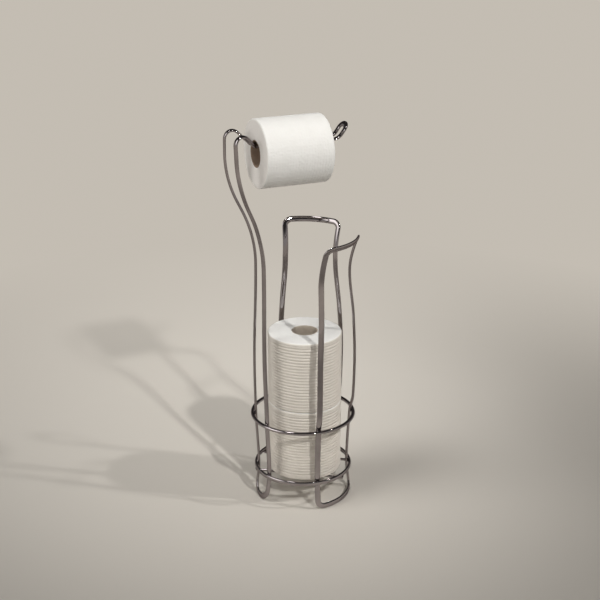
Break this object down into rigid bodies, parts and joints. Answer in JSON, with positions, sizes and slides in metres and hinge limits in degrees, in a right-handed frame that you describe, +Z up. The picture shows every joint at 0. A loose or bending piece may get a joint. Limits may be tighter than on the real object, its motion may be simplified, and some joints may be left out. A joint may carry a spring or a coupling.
{
  "type": "toilet roll holder",
  "caption": "Free-standing chromed wire stand: a swan-neck arm holds the roll in use over an open round basket for spare rolls.",
  "frame": {"origin": "on the floor, at the middle of the stand's depth and width", "axes": "+Z up; +X is the way the arm and the roll on it point, from the arch towards the hook; +Y to the left of that"},
  "size_m": [0.1989, 0.1704, 0.6154],
  "materials": {
    "chrome_wire": "polished",
    "ridged_paper": "matt, wound in fine ridges",
    "soft_paper": "matt, faintly embossed",
    "core_cardboard": "matt, spiral wound"
  },
  "bodies": {
    "stand": {"arm_frame": "chrome_wire", "left_side_frame": "chrome_wire", "right_side_frame": "chrome_wire", "upper_ring": "chrome_wire", "lower_ring": "chrome_wire", "left_base_wire": "chrome_wire", "right_base_wire": "chrome_wire"},
    "lower_spare": {"lower_spare_paper": "ridged_paper", "lower_spare_core": "core_cardboard"},
    "upper_spare": {"upper_spare_paper": "ridged_paper", "upper_spare_core": "core_cardboard"},
    "hanging_roll": {"hanging_roll_paper": "soft_paper", "hanging_roll_core": "core_cardboard"}
  },
  "joints": [
    {"name": "hanging_roll_spin", "type": "hinge", "parent": "stand", "child": "hanging_roll", "pos_m": [-0.0058, 0, 0.56393], "axis": [1, 0, 0], "continuous": true},
    {"name": "lower_spare_lift", "type": "slide", "parent": "stand", "child": "lower_spare", "axis": [0, 0, 1], "range_m": [0, 0.085]},
    {"name": "upper_spare_lift", "type": "slide", "parent": "lower_spare", "child": "upper_spare", "axis": [0, 0, 1], "range_m": [0, 0.145]}
  ]
}
